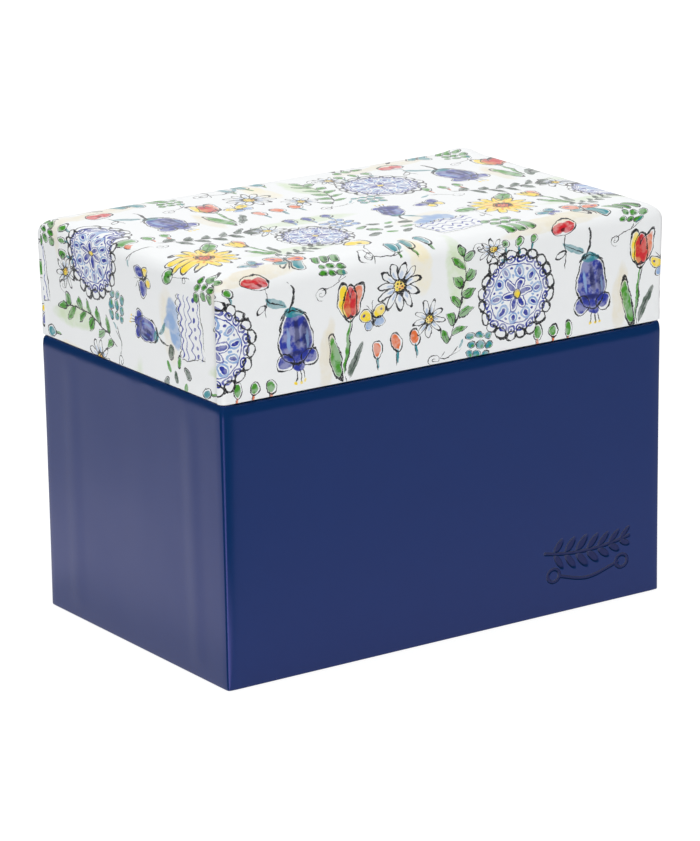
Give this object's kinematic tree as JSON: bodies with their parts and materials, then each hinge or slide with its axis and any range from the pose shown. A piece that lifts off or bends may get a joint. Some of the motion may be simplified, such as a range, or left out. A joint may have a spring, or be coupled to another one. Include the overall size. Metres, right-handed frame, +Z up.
{
  "type": "index card box",
  "caption": "Covered board box for index cards, with a padded patterned lid hinged along the back and tabbed dividers inside.",
  "frame": {"origin": "middle of the panel that the box stands on, at the height of the table", "axes": "+X to the right along the long front, +Y to the back where the lid is hinged, +Z up"},
  "size_m": [0.176, 0.1122, 0.136],
  "materials": {
    "navy_leatherette": "semi-gloss navy leatherette",
    "printed_leatherette": null,
    "greyboard": "raw greyboard",
    "lining_paper": "matt ivory paper over card",
    "foam": "soft foam sheet",
    "underside_card": "matt black paper over card",
    "divider_card": "smooth buff card",
    "index_card_stock": "smooth white card with ruled lines"
  },
  "bodies": {
    "base": {"base_cover": "navy_leatherette", "underside_panel": "underside_card", "base_floor_board": "greyboard", "base_front_board": "greyboard", "base_back_board": "greyboard", "base_left_board": "greyboard", "base_right_board": "greyboard", "base_floor_lining": "lining_paper", "base_front_lining": "lining_paper", "base_back_lining": "lining_paper", "base_left_lining": "lining_paper", "base_right_lining": "lining_paper", "hinge_base_leaf": "navy_leatherette"},
    "lid": {"lid_cover": "printed_leatherette", "lid_foam_pad": "foam", "lid_top_board": "greyboard", "lid_front_board": "greyboard", "lid_back_board": "greyboard", "lid_left_board": "greyboard", "lid_right_board": "greyboard", "lid_top_lining": "lining_paper", "lid_front_lining": "lining_paper", "lid_back_lining": "lining_paper", "lid_left_lining": "lining_paper", "lid_right_lining": "lining_paper", "hinge_lid_leaf": "navy_leatherette"},
    "section_1": {"divider_1": "divider_card", "cards_1": "index_card_stock"},
    "section_2": {"divider_2": "divider_card", "cards_2": "index_card_stock"},
    "section_3": {"divider_3": "divider_card", "cards_3": "index_card_stock"},
    "section_4": {"divider_4": "divider_card", "cards_4": "index_card_stock"},
    "section_5": {"divider_5": "divider_card", "cards_5": "index_card_stock"},
    "section_6": {"divider_6": "divider_card", "cards_6": "index_card_stock"}
  },
  "joints": [
    {"name": "lid_hinge", "type": "hinge", "parent": "base", "child": "lid", "pos_m": [0, 0.0564, 0.0955], "axis": [-1, 0, 0], "range_deg": [0, 175]},
    {"name": "section_1_tilt", "type": "hinge", "parent": "base", "child": "section_1", "pos_m": [0, 0.01967, 0.0053], "axis": [1, 0, 0], "range_deg": [0, 43]},
    {"name": "section_2_tilt", "type": "hinge", "parent": "base", "child": "section_2", "pos_m": [0, 0.02327, 0.0053], "axis": [1, 0, 0], "range_deg": [0, 43]},
    {"name": "section_3_tilt", "type": "hinge", "parent": "base", "child": "section_3", "pos_m": [0, 0.02687, 0.0053], "axis": [1, 0, 0], "range_deg": [0, 43]},
    {"name": "section_4_tilt", "type": "hinge", "parent": "base", "child": "section_4", "pos_m": [0, 0.03047, 0.0053], "axis": [1, 0, 0], "range_deg": [0, 43]},
    {"name": "section_5_tilt", "type": "hinge", "parent": "base", "child": "section_5", "pos_m": [0, 0.03407, 0.0053], "axis": [1, 0, 0], "range_deg": [0, 43]},
    {"name": "section_6_tilt", "type": "hinge", "parent": "base", "child": "section_6", "pos_m": [0, 0.03767, 0.0053], "axis": [1, 0, 0], "range_deg": [0, 43]}
  ],
  "couplings": [
    {"joint": "section_2_tilt", "follows": "section_1_tilt", "ratio": 1},
    {"joint": "section_3_tilt", "follows": "section_1_tilt", "ratio": 1},
    {"joint": "section_4_tilt", "follows": "section_1_tilt", "ratio": 1},
    {"joint": "section_5_tilt", "follows": "section_1_tilt", "ratio": 1},
    {"joint": "section_6_tilt", "follows": "section_1_tilt", "ratio": 1}
  ]
}
